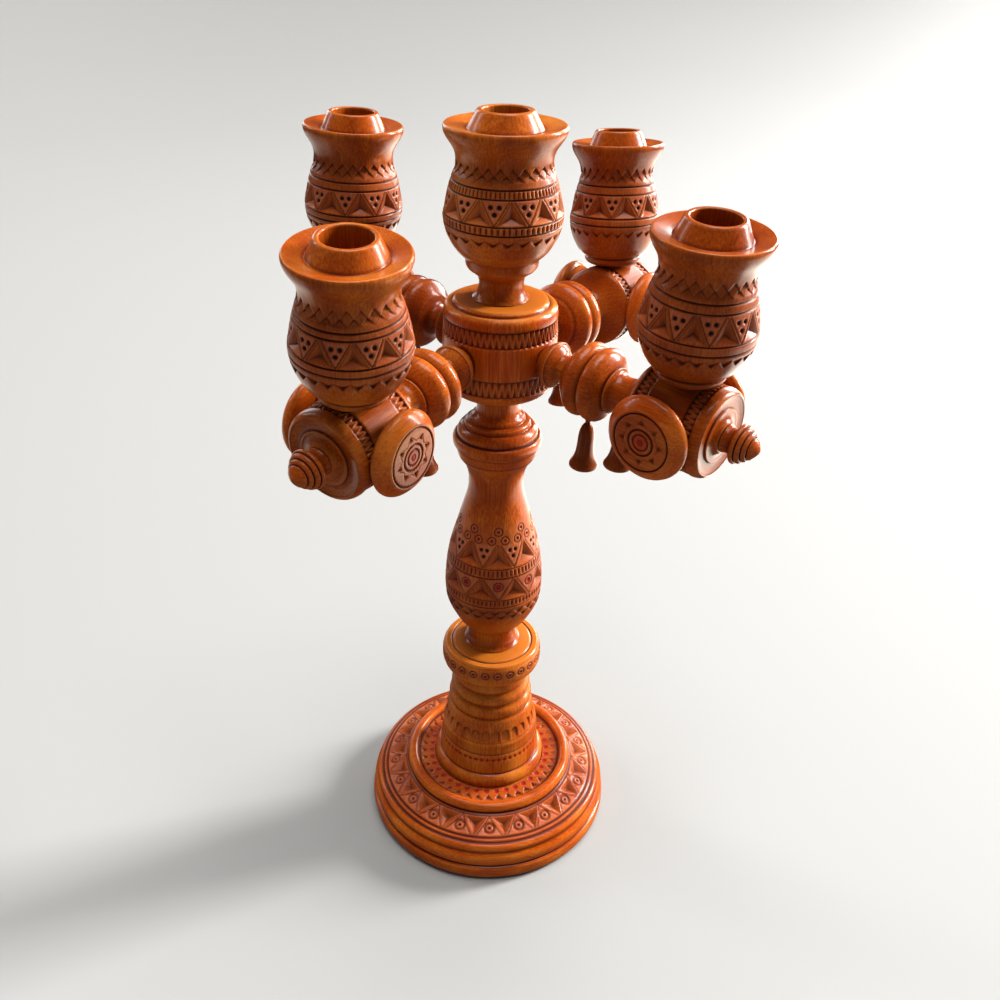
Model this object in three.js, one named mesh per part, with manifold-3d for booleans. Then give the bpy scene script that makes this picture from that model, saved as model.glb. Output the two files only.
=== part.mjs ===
// Five-cup turned wooden candelabra: a round stepped base, a turned column, a hub
// with four arms plugged into it, a candle cup on each arm and one on the hub.
// Millimetres, +Z up, origin in the middle of the underside of the base.
import * as THREE from 'three';
import { mergeVertices } from 'three/addons/utils/BufferGeometryUtils.js';
import Module from 'manifold-3d';

const wasm = await Module();
wasm.setup();

// ---------------------------------------------------------------- driving dimensions
const CANDLE_R = 11.5;          // candle socket radius: takes a 22 mm candle
const SOCKET_DEPTH = 22;        // candle socket depth
const GAP = 0.3;                // clearance between glued or plugged pieces
const ARM_Z = 347.9;            // height of the arm axes where they cross the column axis
const CUP_X = 114.1;            // candle cup axis, measured out along the arm
const AXLE_X = 112.1;           // wheel axle, measured out along the arm
const DRUM_R = 23.8;            // radius of the drum at the end of each arm
const TENON_R = 7.2;            // arm tenon that plugs into the hub
const ROOT_R = 8.4;             // root of the arm, which seats in a shallow pocket in the hub
const SEAT_X = 28.4;            // floor of that pocket, measured along the arm
const HUB_R = 31.8;             // radius of the hub
const BELL_IN = { x: 59.9, top: -25.2, peg: -12 };   // bell under the two big discs
const BELL_OUT = { x: 81.8, top: -15.2, peg: -5 };   // bell under the slim neck
const PIN_R = 1.45;             // peg of a bell

// every arm sits a little turned and a little low in its hole: heading, droop and twist in
// degrees; out is how far short of its seat it stops and side how far its hole passes beside
// the column axis; roll turns its wheel axle in the drum. cup and discs give how stout its
// candle cup and its two big discs are turned.
const ARMS = [
  { name: 'front_left', heading: -130.65, droop: 5.7, twist: -6.0, out: 2.35, side: -4.4, roll: 2.95, cup: 0.9, discs: 1 },
  { name: 'front_right', heading: -46.75, droop: 3.54, twist: 2.2, out: 3.0, side: 0.9, roll: 0.1, cup: 0.9, discs: 1 },
  { name: 'rear_right', heading: 46.2, droop: 3.8, twist: -4.8, out: 0.6, side: -1.4, roll: 0, cup: 0.867, discs: 1.08 },
  { name: 'rear_left', heading: 134.3, droop: -1.9, twist: 1.6, out: 0.8, side: 0, roll: 0, cup: 0.9, discs: 1 },
];

// ---------------------------------------------------------------- helpers
const rad = (a) => (a * Math.PI) / 180;

// profile of [height, radius] pairs, from low to high, turned about Z
function turned(profile, segments) {
  const g = new THREE.LatheGeometry(profile.map(([z, r]) => new THREE.Vector2(r, z)), segments);
  g.rotateX(Math.PI / 2);
  return g;
}

function rod(r, z0, z1, segments) {
  return turned([[z0, 0], [z0, r], [z1, r], [z1, 0]], segments);
}

const alongX = (g) => g.rotateY(Math.PI / 2);           // +Z of the lathe becomes +X
const alongY = (g, side) => g.rotateX(side > 0 ? -Math.PI / 2 : Math.PI / 2);

function solid(geometry) {
  const g = geometry.clone();
  g.deleteAttribute('normal');
  g.deleteAttribute('uv');
  const m = mergeVertices(g, 1e-4);
  const tri = [];
  const idx = m.index.array;
  for (let i = 0; i < idx.length; i += 3) {
    const [a, b, c] = [idx[i], idx[i + 1], idx[i + 2]];
    if (a !== b && b !== c && a !== c) tri.push(a, b, c);
  }
  return new wasm.Manifold(new wasm.Mesh({
    numProp: 3,
    vertProperties: new Float32Array(m.attributes.position.array),
    triVerts: new Uint32Array(tri),
  }));
}

function geometryOf(manifold) {
  const m = manifold.getMesh();
  const g = new THREE.BufferGeometry();
  g.setAttribute('position', new THREE.BufferAttribute(new Float32Array(m.vertProperties), 3));
  g.setIndex(new THREE.BufferAttribute(new Uint32Array(m.triVerts), 1));
  g.computeVertexNormals();
  return g;
}

function cut(geometry, tools) {
  let s = solid(geometry);
  for (const t of tools) s = s.subtract(solid(t));
  return geometryOf(s);
}

function wood(color, roughness) {
  return new THREE.MeshStandardMaterial({ color, roughness, metalness: 0 });
}

function piece(name, geometry, color, roughness = 0.35) {
  const m = new THREE.Mesh(geometry, wood(color, roughness));
  m.name = name;
  return m;
}

const AMBER = 0xb4652a, HONEY = 0xc0722f, CARVED = 0xb96c3f, UMBER = 0x7a3a17, DOWEL = 0xd2a878;

function armMatrix(arm) {
  const g = new THREE.Object3D();
  g.position.set(0, 0, ARM_Z);
  g.rotation.set(rad(arm.twist), rad(arm.droop), rad(arm.heading), 'ZYX');
  g.translateX(arm.out);
  g.translateY(arm.side);
  g.updateMatrix();
  return g.matrix;
}

// ---------------------------------------------------------------- column
// base: flat underside, rounded side in two steps, carved ring sloping up to a raised
// ring, and a shallow floor round the column, bored for the column's tenon
const base = turned([
  [0, 0], [0, 78.5], [1.4, 81.1], [4.1, 82.4], [7.5, 82.5], [11.5, 80.5], [13, 81.0], [18.7, 80.8],
  [21.3, 78.8], [24.3, 78.7], [27.2, 76.3], [28.9, 73.0], [34.7, 58.9], [35.4, 57.2], [40.7, 55.6],
  [41.5, 53.3], [40.0, 50.2], [38.0, 49.7], [38.0, 12.3], [9.5, 12.3], [9.5, 0],
], 40);

// conical foot with a round bottom moulding and three soft steps; its upper tenon runs
// through the ring knop and into the baluster
const foot = turned([
  [10, 0], [10, 12], [38.3, 12], [38.3, 36.4], [41, 37.1], [44, 36.7], [47.5, 34.6], [63, 32.5],
  [73, 31.3], [90, 28.0], [98, 26.7], [100.3, 25.4], [107.3, 25.6], [110, 24.3], [116, 24.6],
  [119.6, 23.8], [119.6, 9.5], [152.4, 9.5], [152.4, 0],
], 24);

const knop = turned([
  [119.9, 9.8], [119.9, 24.2], [121.9, 29.4], [124.6, 31.3], [128, 32.2], [131.5, 32.3], [135.1, 32.0],
  [138.8, 30.0], [139, 26.7], [140.9, 18.3], [140.9, 9.8], [119.9, 9.8],
], 24);

// baluster: slim neck over the knop, full belly, long taper, then the collar of rings
// under the hub and the tenon that enters it
const baluster = turned([
  [152.7, 0], [152.7, 9.8], [141.2, 9.8], [141.2, 18.2], [145.2, 15.4], [150, 15.2], [157.4, 18.8],
  [162.5, 23], [169.8, 26.8], [177, 29.5], [186, 30.5], [195, 30.3], [204.5, 29.4], [216, 27.5],
  [227, 24.6], [253, 17.1], [262, 16.3], [271, 18.0], [278.7, 22.7], [287.6, 26], [289.9, 26],
  [301.8, 17], [307.7, 12.4], [316.5, 12.1], [316.5, 8.5], [332.2, 8.5], [332.2, 0],
], 20);

const hubBody = turned([
  [332.5, 0], [332.5, 8.8], [316.8, 8.8], [316.8, 12.6], [318.2, 18.3], [320.9, 25.1], [324.1, 29.2],
  [328, 31.5], [337, 31.8], [356, 31.8], [365, 31.5], [367.5, 31.4], [370.2, 30.7], [371.8, 29.1],
  [374.1, 24.0], [374.1, 8.8], [359.5, 8.8], [359.5, 0],
], 28);
const hubCuts = [];
for (const arm of ARMS) {
  const m = armMatrix(arm);
  hubCuts.push(alongX(rod(TENON_R + 0.4, 11.7, SEAT_X + 1, 16)).applyMatrix4(m));
  // the boss widens away from its root, so the pocket is as wide as it is at the hub's surface
  const pocket = ROOT_R + 0.8 + (HUB_R - arm.out - SEAT_X) * 0.78;
  hubCuts.push(alongX(rod(pocket, SEAT_X, 45, 20)).applyMatrix4(m));
}

// candle cup: flared foot or tenon, round body, waist, wide drip rim, raised socket
const CUP_BODY = [   // [height above the arm axis, radius]
  [32.75, 24.4], [37.5, 27.8], [44.8, 30.6], [51.7, 31.5], [60, 29.8], [72.7, 26.0], [78.6, 24.8],
  [83.2, 25.8], [92.2, 31.2], [94.9, 31.3], [95.5, 30.6],
];
const CUP_SOCKET = (base, top) => [
  [92.8, base], [102.1, top], [102.1, CANDLE_R], [102.1 - SOCKET_DEPTH, CANDLE_R], [102.1 - SOCKET_DEPTH, 0],
];
const CENTRE_LIFT = 367.9;   // the cup on the hub stands higher up
const centreCup = turned([
  [360, 0], [360, 8.5], [374.4, 8.5], [374.4, 15.8], [378.9, 12.6], [382.5, 12.05], [386.2, 12.8],
  [390.3, 17.9], [392.1, 19.2], [394.4, 19.5], [396.5, 20.1],
  ...[...CUP_BODY, ...CUP_SOCKET(18.4, 14.4)].map(([z, r]) => [z + CENTRE_LIFT, r]),
], 16);
const armCup = (k) => turned([   // the cups on the arms are about a tenth slimmer
  [12, 0], [12, 6.6], [24.2, 6.6], [24.2, 16.4 * k], [28.6, 19.8 * k],
  ...CUP_BODY.map(([z, r]) => [z, r * k]), ...CUP_SOCKET(18.8 * k, 13.6),
], 16);

// ---------------------------------------------------------------- arm pieces, axis along +X
// tenon, boss, slim neck, two big discs pressed together, a thin flange, a waisted neck
// and the drum
const armProfile = (k) => [
  [12, 0], [12, TENON_R], [SEAT_X + GAP, TENON_R], [SEAT_X + GAP, ROOT_R], [32, 10.9], [34.6, 12.7],
  [36.7, 12.6], [40.6, 7.6], [45.2, 7.5], [47.8, 12.2 * k], [54, 19.2 * k], [56.6, 20.1 * k],
  [59.6, 19.2 * k], [61.3, 15.2 * k], [63.2, 19.0 * k], [66.4, 19.9 * k], [69.8, 18.4 * k],
  [73.7, 12.2], [75.3, 12.0], [78.4, 9.5], [84, 10.0], [87, 10.9], [93.7, 21.9], [97, DRUM_R],
  [132, DRUM_R], [137.2, 19.8], [135.4, 14.0], [139.4, 8.0], [139.4, 0],
];
const rolled = (g, arm) => g.rotateX(rad(arm.roll)).translate(AXLE_X, 0, 0);
const armBody = (arm) => cut(alongX(turned(armProfile(arm.discs), 16)), [
  alongX(rod(4.3, 128.2, 145, 12)),                                        // finial socket
  rod(6.9, 11.7, 40, 14).translate(CUP_X, 0, 0),                            // cup tenon hole
  rolled(alongY(rod(3.9, -40, 40, 12), 1), arm),                            // axle bore, right through
  rod(PIN_R + 0.3, -40, BELL_IN.peg + GAP, 8).translate(BELL_IN.x, 0, 0),  // bell holes
  rod(PIN_R + 0.3, -30, BELL_OUT.peg + GAP, 8).translate(BELL_OUT.x, 0, 0),
]);

// finial: tenon, short stem and a ribbed cone that ends in a point
const finial = () => alongX(turned([
  [128.5, 0], [128.5, 4.0], [139.7, 4.0], [139.7, 7.4], [142.4, 6.8], [144, 11.4], [146.3, 11.6],
  [150.8, 8.2], [154.1, 5.2], [157.8, 0],
], 12));

// wheel: thick disc with a rounded rim, bored from behind for the axle
const wheel = (side, arm) => rolled(alongY(turned([
  [30.5, 0], [30.5, 3.9], [24.2, 3.9], [24.2, 19.3], [26.6, 22.0], [28.6, 21.5], [31, 19.8],
  [33.6, 16.3], [33.6, 0],
], 16), side), arm);

const axle = (arm) => rolled(alongY(rod(3.6, -30.1, 30.1, 12), 1), arm);

// bell: a turned drop with a round top and a flared lip, on its own peg
const bell = (b) => turned([
  [-27.4, 0], [-27.4, 7.2], [-26, 8.0], [-21.5, 6.2], [-16, 5.0], [-3.2, 4.45],
  [0, PIN_R], [b.peg - b.top, PIN_R], [b.peg - b.top, 0],
], 10).translate(b.x, 0, b.top);

// ---------------------------------------------------------------- assembly
const candelabra = new THREE.Group();
candelabra.add(
  piece('base_plate', base, AMBER),
  piece('column_foot', foot, AMBER),
  piece('ring_knop', knop, HONEY),
  piece('baluster', baluster, AMBER),
  piece('hub', cut(hubBody, hubCuts), CARVED),
  piece('center_cup', centreCup, HONEY),
);

for (const arm of ARMS) {
  const g = new THREE.Group();
  armMatrix(arm).decompose(g.position, g.quaternion, g.scale);
  const cup = piece(`${arm.name}_cup`, armCup(arm.cup), HONEY);
  cup.position.x = CUP_X;
  g.add(
    piece(`${arm.name}_arm`, armBody(arm), AMBER),
    piece(`${arm.name}_finial`, finial(), UMBER),
    piece(`${arm.name}_wheel_left`, wheel(1, arm), HONEY),
    piece(`${arm.name}_wheel_right`, wheel(-1, arm), HONEY),
    piece(`${arm.name}_axle`, axle(arm), DOWEL, 0.7),
    cup,
    piece(`${arm.name}_bell_inner`, bell(BELL_IN), UMBER),
    piece(`${arm.name}_bell_outer`, bell(BELL_OUT), UMBER),
  );
  candelabra.add(g);
}

export default candelabra;
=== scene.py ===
"""Turned and chip-carved wooden candelabra: a stepped base, a turned column, a hub and four
arms that each carry a candle cup, two wheels on an axle, a finial and two hanging bells.
Lengths in this script are millimetres in each piece's own turning frame until a mesh is made."""
import math
import bpy
import numpy as np
from mathutils import Matrix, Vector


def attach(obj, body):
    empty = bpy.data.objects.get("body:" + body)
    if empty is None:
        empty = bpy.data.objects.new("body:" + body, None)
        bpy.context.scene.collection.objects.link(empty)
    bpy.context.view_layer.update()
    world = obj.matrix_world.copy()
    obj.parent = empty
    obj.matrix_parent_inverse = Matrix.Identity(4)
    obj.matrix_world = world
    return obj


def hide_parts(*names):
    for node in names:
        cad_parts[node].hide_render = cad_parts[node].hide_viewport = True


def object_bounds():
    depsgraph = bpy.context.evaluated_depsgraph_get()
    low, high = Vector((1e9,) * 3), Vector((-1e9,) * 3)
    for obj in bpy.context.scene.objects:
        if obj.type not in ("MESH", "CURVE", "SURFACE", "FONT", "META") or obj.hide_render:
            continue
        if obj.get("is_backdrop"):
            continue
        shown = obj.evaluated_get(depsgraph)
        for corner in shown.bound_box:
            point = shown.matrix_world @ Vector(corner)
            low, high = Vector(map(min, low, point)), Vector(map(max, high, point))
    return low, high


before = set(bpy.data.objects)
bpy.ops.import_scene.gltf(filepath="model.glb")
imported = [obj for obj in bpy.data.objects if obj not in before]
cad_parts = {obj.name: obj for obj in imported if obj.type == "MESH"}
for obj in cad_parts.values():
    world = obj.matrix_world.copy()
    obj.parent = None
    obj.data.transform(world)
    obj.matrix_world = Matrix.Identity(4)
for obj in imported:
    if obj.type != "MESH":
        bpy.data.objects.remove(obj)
CAD_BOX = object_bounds()

MM = 0.001
FRONT = -97.1        # azimuth of the line of the column that faces the camera, degrees
PI2 = 2 * math.pi

# ------------------------------------------------------------------ the frame's dimensions
ARM_Z, CUP_X, AXLE_X = 347.9, 114.1, 112.1
ROOT_R, SEAT_X, HUB_R = 8.4, 28.4, 31.8
BELL_IN = dict(x=59.9, top=-25.2, peg=-12.0)
BELL_OUT = dict(x=81.8, top=-15.2, peg=-5.0)
ARMS = {
    "front_left": dict(heading=-130.65, droop=5.7, twist=-6.0, out=2.35, side=-4.4, roll=2.95, cup=0.9, discs=1.0),
    "front_right": dict(heading=-46.75, droop=3.54, twist=2.2, out=3.0, side=0.9, roll=0.1, cup=0.9, discs=1.0),
    "rear_right": dict(heading=46.2, droop=3.8, twist=-4.8, out=0.6, side=-1.4, roll=0.0, cup=0.867, discs=1.08),
    "rear_left": dict(heading=134.3, droop=-1.9, twist=1.6, out=0.8, side=0.0, roll=0.0, cup=0.9, discs=1.0),
}


def rot(axis, deg):
    c, s = math.cos(math.radians(deg)), math.sin(math.radians(deg))
    m = np.eye(4)
    i, j = {"x": (1, 2), "y": (2, 0), "z": (0, 1)}[axis]
    m[i, i] = m[j, j] = c
    m[i, j], m[j, i] = -s, s
    return m


def shift(x=0.0, y=0.0, z=0.0):
    m = np.eye(4)
    m[:3, 3] = (x, y, z)
    return m


ALONG_X = rot("y", 90)                               # the turning axis lies along +X
ALONG_Y = {1: rot("x", -90), -1: rot("x", 90)}       # or along +Y and -Y


def arm_frame(a):
    r = rot("z", a["heading"]) @ rot("y", a["droop"]) @ rot("x", a["twist"])
    return shift(z=ARM_Z) @ r @ shift(x=a["out"], y=a["side"])


# ------------------------------------------------------------------ profiles and turned grids
def smooth_profile(points, corner=36.0, step=0.06, fillet=0.12, closed=False):
    """Dense (z, r) samples through the points: gentle bends become curves, sharp ones stay
    corners with a small fillet. A third value of 1 keeps a point sharp whatever its bend."""
    forced = np.array([len(p) > 2 and p[2] == 1 for p in points])
    p = np.array([q[:2] for q in points], float)
    if closed:
        p = np.vstack([p, p[:1]])
        forced = np.append(forced, True)
    d = np.diff(p, axis=0)
    length = np.hypot(d[:, 0], d[:, 1])
    u = d / length[:, None]
    tin, tout = np.vstack([u[:1], u]), np.vstack([u, u[-1:]])
    for i in range(1, len(p) - 1):
        turn = math.degrees(math.acos(float(np.clip(u[i - 1] @ u[i], -1, 1))))
        if turn < corner and not forced[i]:
            a, b = length[i - 1], length[i]
            t = (u[i - 1] * b + u[i] * a) / (a + b)
            t /= np.hypot(*t)
            tin[i] = tout[i] = t
    out = []
    for i in range(len(d)):
        n = max(2, int(math.ceil(length[i] / step)))
        t = np.arange(n)[:, None] / n
        h00, h10 = 2 * t**3 - 3 * t**2 + 1, t**3 - 2 * t**2 + t
        h01, h11 = -2 * t**3 + 3 * t**2, t**3 - t**2
        near = length[max(i - 1, 0)], length[min(i + 1, len(d) - 1)]      # keeps long spans from bulging
        m0, m1 = min(length[i], 2 * near[0]), min(length[i], 2 * near[1])
        out.append(h00 * p[i] + h10 * m0 * tout[i] + h01 * p[i + 1] + h11 * m1 * tin[i + 1])
    out.append(p[-1:])
    q = np.vstack(out)
    s = np.append(0, np.cumsum(np.hypot(*np.diff(q, axis=0).T)))
    keep = np.append(True, np.diff(s) > 1e-7)
    q, s = q[keep], s[keep]
    n = int(s[-1] / step)
    even = np.linspace(0, s[-1], n + 1)
    q = np.stack([np.interp(even, s, q[:, k]) for k in (0, 1)], 1)
    if fillet > 0:
        w = int(round(3 * fillet / step))
        k = np.exp(-0.5 * (np.arange(-w, w + 1) * step / fillet) ** 2)
        k /= k.sum()
        if closed:
            pad = np.vstack([q[-w - 1:-1], q, q[1:w + 1]])
        else:
            pad = np.vstack([2 * q[0] - q[w:0:-1], q, 2 * q[-1] - q[-2:-w - 2:-1]])
        q = np.stack([np.convolve(pad[:, c], k, "valid") for c in (0, 1)], 1)
    return q


class Turned:
    """A profile turned about its axis as a grid of rows by columns, with carving cut into it.
    depth is how far each point is cut in along the normal; the marks are 0 to 1."""

    def __init__(self, points, columns, zones=(), tol=0.02, most=4.0, limit=99000, closed=False, fillet=0.12):
        q = smooth_profile(points, closed=closed, fillet=fillet)
        seg = np.hypot(*np.diff(q, axis=0).T)
        s = np.append(0, np.cumsum(seg))
        t = np.gradient(q, s, axis=0)
        t /= np.maximum(np.hypot(t[:, 0], t[:, 1]), 1e-9)[:, None]
        w = 4
        k = np.hanning(2 * w + 1)
        k /= k.sum()
        ts = np.stack([np.convolve(np.pad(t[:, c], w, "edge"), k, "valid") for c in (0, 1)], 1)
        ts /= np.maximum(np.hypot(ts[:, 0], ts[:, 1]), 1e-9)[:, None]
        ang = np.unwrap(np.arctan2(ts[:, 1], ts[:, 0]))
        bend = np.gradient(ang, s)                    # negative where the surface bulges out
        self.dq, self.ds = q, s
        self.closed = closed
        step = np.clip(np.sqrt(8 * tol / np.maximum(np.abs(bend), 1e-6)), 0.13, most)
        fine = np.full(len(s), most)
        for zone in zones:
            a, b, st = zone
            fine[(s >= a) & (s <= b)] = np.minimum(fine[(s >= a) & (s <= b)], st)
        step = np.minimum(step, fine)
        grow = 0.22                                   # neighbouring rows differ gently
        for i in range(1, len(step)):
            step[i] = min(step[i], step[i - 1] + grow * (s[i] - s[i - 1]))
        for i in range(len(step) - 2, -1, -1):
            step[i] = min(step[i], step[i + 1] + grow * (s[i + 1] - s[i]))
        cum = np.append(0, np.cumsum(0.5 * (1 / step[1:] + 1 / step[:-1]) * np.diff(s)))
        rows = int(math.ceil(cum[-1]))
        rows = min(rows, int(limit // columns))
        at = np.interp(np.linspace(0, cum[-1], rows + 1), cum, s)
        if closed:
            at = at[:-1]
        pick = lambda v: np.interp(at, s, v)[:, None]
        self.s, self.z, self.r = at[:, None], pick(q[:, 0]), np.maximum(pick(q[:, 1]), 0)
        self.tz, self.tr = pick(ts[:, 0]), pick(ts[:, 1])
        self.bend = pick(bend)
        wide = 40
        kk = np.hanning(2 * wide + 1)
        kk /= kk.sum()
        self.soft_bend = pick(np.convolve(np.pad(bend, wide, "edge"), kk, "valid"))
        self.columns = columns
        self.th = (np.arange(columns) * PI2 / columns)[None, :]
        shape = (len(at), columns)
        self.depth = np.zeros(shape)
        self.marks = {k: np.zeros(shape) for k in ("pink", "line", "black", "red", "pale", "chip")}

    # where along the profile it passes a height or a radius
    def at(self, z=None, r=None, after=0.0):
        v, want = (self.dq[:, 0], z) if r is None else (self.dq[:, 1], r)
        i = np.flatnonzero((np.diff(np.sign(v - want)) != 0) & (self.ds[1:] > after))
        if not len(i):
            raise ValueError("no crossing")
        i = i[0]
        f = (want - v[i]) / ((v[i + 1] - v[i]) or 1)
        return float(self.ds[i] + f * (self.ds[i + 1] - self.ds[i]))

    def radius(self, s):
        return float(np.interp(s, self.ds, self.dq[:, 1]))

    def turn(self, n, phase):
        """Angle from the nearest of n evenly spaced lines, -0.5 to 0.5 of the pitch."""
        x = (self.th - math.radians(phase)) / (PI2 / n)
        return x - np.round(x)

    def cut(self, d):
        np.maximum(self.depth, d, out=self.depth)

    def mark(self, name, m):
        np.maximum(self.marks[name], np.clip(m, 0, 1), out=self.marks[name])

    def band(self, a, b, name="pink", amount=1.0, soft=0.8):
        a, b = min(a, b), max(a, b)
        f = np.clip((self.s - a) / soft + 0.5, 0, 1) * np.clip((b - self.s) / soft + 0.5, 0, 1)
        self.mark(name, amount * f + 0 * self.th)

    # ---- tool marks
    def groove(self, s0, width=1.2, depth=0.9, dark=1.0):
        f = np.clip(1 - np.abs(self.s - s0) / (width / 2), 0, 1)
        self.cut(depth * f**0.8 + 0 * self.th)
        # the line mark is painted shade along the groove
        self.mark("line", dark * np.clip(f * 2.4, 0, 1) + 0 * self.th)

    def beads(self, a, b, n, phase=0.0, depth=0.95, dark=1.0):
        """A band of small upright ridges with narrow notches between them."""
        a, b = min(a, b), max(a, b)
        x = np.abs(self.turn(n, phase)) * 2           # 0 on a ridge, 1 in a notch
        win = np.clip((self.s - a) / 0.45, 0, 1) * np.clip((b - self.s) / 0.45, 0, 1)
        notch = np.clip((x - 0.42) / 0.58, 0, 1) ** 1.3
        self.cut(depth * notch * win)
        self.cut(0.16 * (1 - win) * ((self.s > a - 0.5) & (self.s < b + 0.5)))
        # the line mark is painted shade in the notches
        self.mark("line", dark * np.clip((x - 0.55) / 0.25, 0, 1) * win)

    def ramps(self, n, phase, s_apex, s_foot, depth=1.0, length=1.9, floor=None, dark=1.0):
        """A row of ramped chips: a pointed steep wall at each apex, the floor rising away from it.
        s_apex is where the points are and s_foot where their sides meet."""
        sign = 1.0 if s_apex > s_foot else -1.0
        h = abs(s_apex - s_foot)
        x = np.abs(self.turn(n, phase)) * 2
        v = sign * (s_apex - self.s)                  # 0 at the apex, growing away from it
        inside = np.clip((v - h * x) / 0.16, 0, 1)
        fall = np.clip(1 - v / (h * length), 0, 1)
        d = depth * fall * inside
        if floor is not None:
            d = d * np.clip(sign * (self.s - floor) / 0.3 + 1, 0, 1)
        self.cut(d)
        # the line mark is painted shade along each steep wall
        wide = 0.34 + 0.42 * np.clip(1 - x * 1.6, 0, 1)
        wall = np.clip(1.3 - np.abs(v - h * x - 0.2) / wide, 0, 1) * (v > -0.1) * (fall > 0.02)
        self.mark("line", dark * wall * np.clip(0.35 + fall, 0, 1))
        self.mark("chip", inside * fall)

    def chips(self, n, phase, s_apex, s_base, depth=1.9, strip=1.15, deep=0.36, edge=0.55, depth_shade=0.72):
        """Three-faceted triangular chips with a flat strip and a fine cut line beside each.
        Returns a function that places things in the upside-down triangles between them."""
        h = abs(s_apex - s_base)
        mid = self.radius((s_apex + s_base) / 2)
        pitch = PI2 * mid / n
        b = pitch / 2
        for _ in range(4):
            cosa = h / math.hypot(h, b)
            b = pitch / 2 - strip / cosa
        v = (self.s - s_base) / (s_apex - s_base) * h
        x = np.abs(self.turn(n, phase)) * pitch
        side = (b * (1 - v / h) - x) * cosa
        f = np.minimum(v / (deep * h), side / ((1 - deep) * b * cosa))
        self.cut(depth * np.clip(f, 0, 1))
        span = np.clip(v / 0.3 + 0.5, 0, 1) * np.clip((h - v) / 0.3 + 0.5, 0, 1)
        self.mark("chip", np.clip(f * 4, 0, 1))
        # painted shade: the line marks darken each chip with its depth, along its creases, ridge and walls, and in the
        # cut line beside it
        self.mark("line", depth_shade * np.clip((f - 0.2) / 0.8, 0, 1) ** 1.3)
        crease = np.abs(v / (deep * h) - side / ((1 - deep) * b * cosa))
        self.mark("line", 0.85 * np.clip(1.25 - crease / 0.26, 0, 1) * np.clip(f * 1.6 - 0.15, 0, 1))
        ridge = np.clip(1 - x / 0.35, 0, 1) * np.clip((v - deep * h) / 0.5, 0, 1) * (side > 0)
        self.mark("line", 0.65 * ridge)
        self.mark("line", 0.9 * np.clip(1 - np.abs(side) / 0.34, 0, 1) * span * (v > 0.2))
        q = -side
        line = np.clip(1 - np.abs(q - strip) / (edge / 2), 0, 1) * span
        self.cut(0.55 * line)
        self.mark("line", np.clip(line * 1.5, 0, 1) * 0.95)
        self.mark("pale", np.clip((q - strip - 0.35) / 0.3, 0, 1) * span)

        def place(px, pv):
            """Distance from the point px to the right of an upside-down triangle's middle line
            and the fraction pv of the way up it."""
            xm = self.turn(n, phase + 180.0 / n) * pitch
            return np.hypot(xm - px, v - pv * h)
        return place

    def dot(self, rho, radius, depth=0.8, name="black"):
        f = np.clip((radius - rho) / 0.3, 0, 1)
        self.cut(depth * np.sqrt(np.clip(1 - (rho / (radius * 1.05)) ** 2, 0, 1)))
        self.mark(name, np.clip((radius - rho) / 0.28 + 0.35, 0, 1))
        return f

    def spot(self, n, phase, s0):
        """Distance from the nearest of n evenly spaced points on the circle at s0."""
        return np.hypot(self.turn(n, phase) * PI2 * self.radius(s0) / n, self.s - s0)

    def ring(self, rho, radius=2.15, width=0.75, depth=0.5, core=0.85, red=1.0, core_name="red"):
        """A struck circle with a hole in its middle."""
        f = np.clip(1 - np.abs(rho - radius) / (width / 2), 0, 1)
        self.cut(depth * f**0.7)
        # line: painted shade in the ring's groove and in the hole; pale: a painted highlight on the raised disc inside
        # the ring
        self.mark("line", np.clip(f * 1.7, 0, 1))
        self.mark("pale", 0.8 * np.clip((radius - rho) / 0.3, 0, 1))
        self.cut(0.75 * np.sqrt(np.clip(1 - (rho / core) ** 2, 0, 1)))
        self.mark(core_name, red * np.clip((core * 1.15 - rho) / 0.3 + 0.3, 0, 1))
        self.mark("line", 0.8 * np.clip((core * 1.15 - rho) / 0.3 + 0.3, 0, 1))

    def zigzag(self, a, b, n, phase, depth=1.5, dark=0.9, base=0.25):
        """A sunk band of V cuts run in turn from one edge and the other, leaving a zigzag ridge."""
        a, b = min(a, b), max(a, b)
        tri = np.abs(self.turn(n, phase)) * 2
        v = (self.s - a) / (b - a)
        inside = np.clip((self.s - a) / 0.12, 0, 1) * np.clip((b - self.s) / 0.12, 0, 1)
        off = np.abs(v - tri)
        self.cut((base + depth * np.clip(off, 0, 1) ** 0.9) * inside)
        # the line mark is painted shade in the deeper parts of the V cuts
        self.mark("line", dark * np.clip(off * 1.5 - 0.35, 0, 1) * inside)
        self.mark("chip", inside)
        for e in (a, b):
            self.groove(e, 0.9, 0.75, 1.0)


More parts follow.
